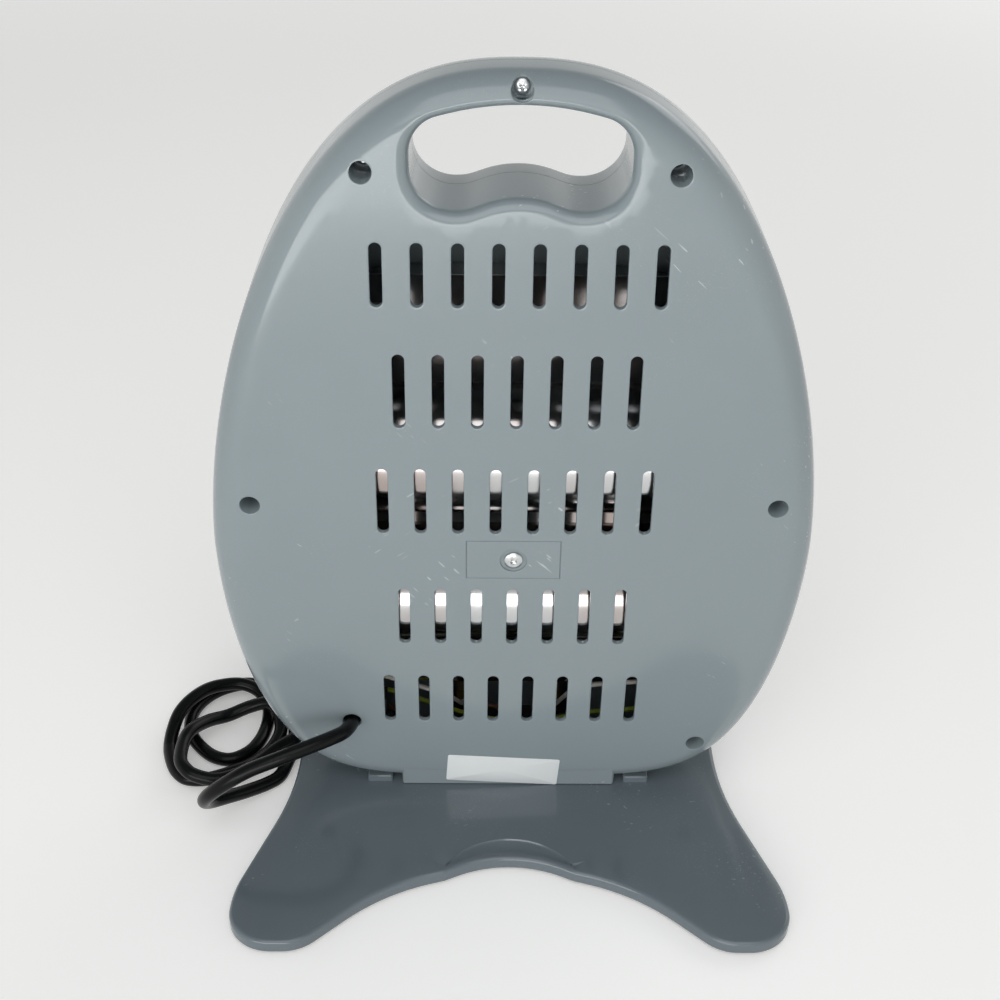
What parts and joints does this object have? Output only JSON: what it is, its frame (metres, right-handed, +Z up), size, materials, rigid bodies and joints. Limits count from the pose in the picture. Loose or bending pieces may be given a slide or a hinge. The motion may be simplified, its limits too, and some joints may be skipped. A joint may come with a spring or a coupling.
{
  "type": "portable quartz tube heater",
  "caption": "Egg-shaped portable quartz heater with a carrying handle hole, slotted back, parabolic reflector troughs behind a wire guard, a wide base plate and a loose power cord.",
  "frame": {"origin": "bottom centre of the heater without its cord, coil and plug, on the floor", "axes": "+X across the heater, towards the side where the cord leaves; +Y towards the slotted back; +Z up"},
  "size_m": [0.3054, 0.2919, 0.356],
  "materials": {
    "shell_plastic": "glossy blue-grey",
    "base_plastic": "glossy dark blue-grey",
    "pad_rubber": "matt black",
    "label_paper": "satin film",
    "guard_wire": "bright plating",
    "clip_metal": "zinc plated",
    "reflector_sheet": "polished sheet",
    "quartz": "milky quartz",
    "heating_wire": "oxidised",
    "ceramic": "white ceramic",
    "contact_brass": "plain brass",
    "bracket_steel": "zinc plated sheet",
    "screw_steel": "zinc plated",
    "switch_black": "satin black",
    "rocker_red": "clear red",
    "inner_white": "plain white",
    "spring_steel": "bright",
    "cutout_body": "brown-black",
    "wire_brown": "insulation",
    "wire_blue": "insulation",
    "wire_green_yellow": "green and yellow insulation",
    "wire_white": "glass-fibre sleeve",
    "grip_plastic": "satin",
    "cord_pvc": "satin black sheath",
    "plug_pvc": "satin black",
    "pin_brass": "nickelled brass"
  },
  "bodies": {
    "heater": {"rear_cover": "shell_plastic", "front_frame": "shell_plastic", "base_plate": "base_plastic", "base_pads": "pad_rubber", "blank_label": "label_paper", "guard_grille": "guard_wire", "guard_clips": "clip_metal", "reflector": "reflector_sheet", "upper_tube": "quartz", "lower_tube": "quartz", "upper_coil": "heating_wire", "lower_coil": "heating_wire", "tube_ends": "ceramic", "tube_pins": "contact_brass", "left_bracket": "bracket_steel", "right_bracket": "bracket_steel", "bracket_screws": "screw_steel", "reflector_screws": "screw_steel", "left_switch_housing": "switch_black", "right_switch_housing": "switch_black", "switch_tabs": "contact_brass", "tip_switch_housing": "inner_white", "tip_spring": "spring_steel", "tip_switch_screws": "screw_steel", "thermal_cutout": "cutout_body", "cutout_screws": "screw_steel", "terminal_block": "inner_white", "terminal_screw": "screw_steel", "live_wire": "wire_brown", "neutral_wire": "wire_blue", "earth_wire": "wire_green_yellow", "tip_lead": "wire_brown", "upper_tube_lead": "wire_white", "lower_tube_lead": "wire_white", "cord_grip": "grip_plastic", "cord_grip_screws": "screw_steel", "cord_tail": "cord_pvc", "power_cord": "cord_pvc", "cord_store": "cord_pvc", "plug_lead": "cord_pvc", "plug_body": "plug_pvc", "plug_pins": "pin_brass", "cover_screws": "screw_steel", "centre_screw": "screw_steel", "centre_nut": "screw_steel", "base_screws": "screw_steel"},
    "left_rocker": {"left_rocker": "rocker_red"},
    "right_rocker": {"right_rocker": "rocker_red"},
    "plunger": {"tip_plunger": "switch_black"}
  },
  "joints": [
    {"name": "left_rocker_tilt", "type": "hinge", "parent": "heater", "child": "left_rocker", "pos_m": [0.023, -0.02162, 0.0365], "axis": [1, 0, 0], "range_deg": [-20, 0]},
    {"name": "right_rocker_tilt", "type": "hinge", "parent": "heater", "child": "right_rocker", "pos_m": [-0.023, -0.02162, 0.0365], "axis": [1, 0, 0], "range_deg": [-20, 0]},
    {"name": "plunger_slide", "type": "slide", "parent": "heater", "child": "plunger", "axis": [0, 0, 1], "range_m": [-0.0045, 0.0015], "stiffness_N_per_m": 60, "springref_m": -0.0075, "deforming": ["tip_spring"]}
  ]
}
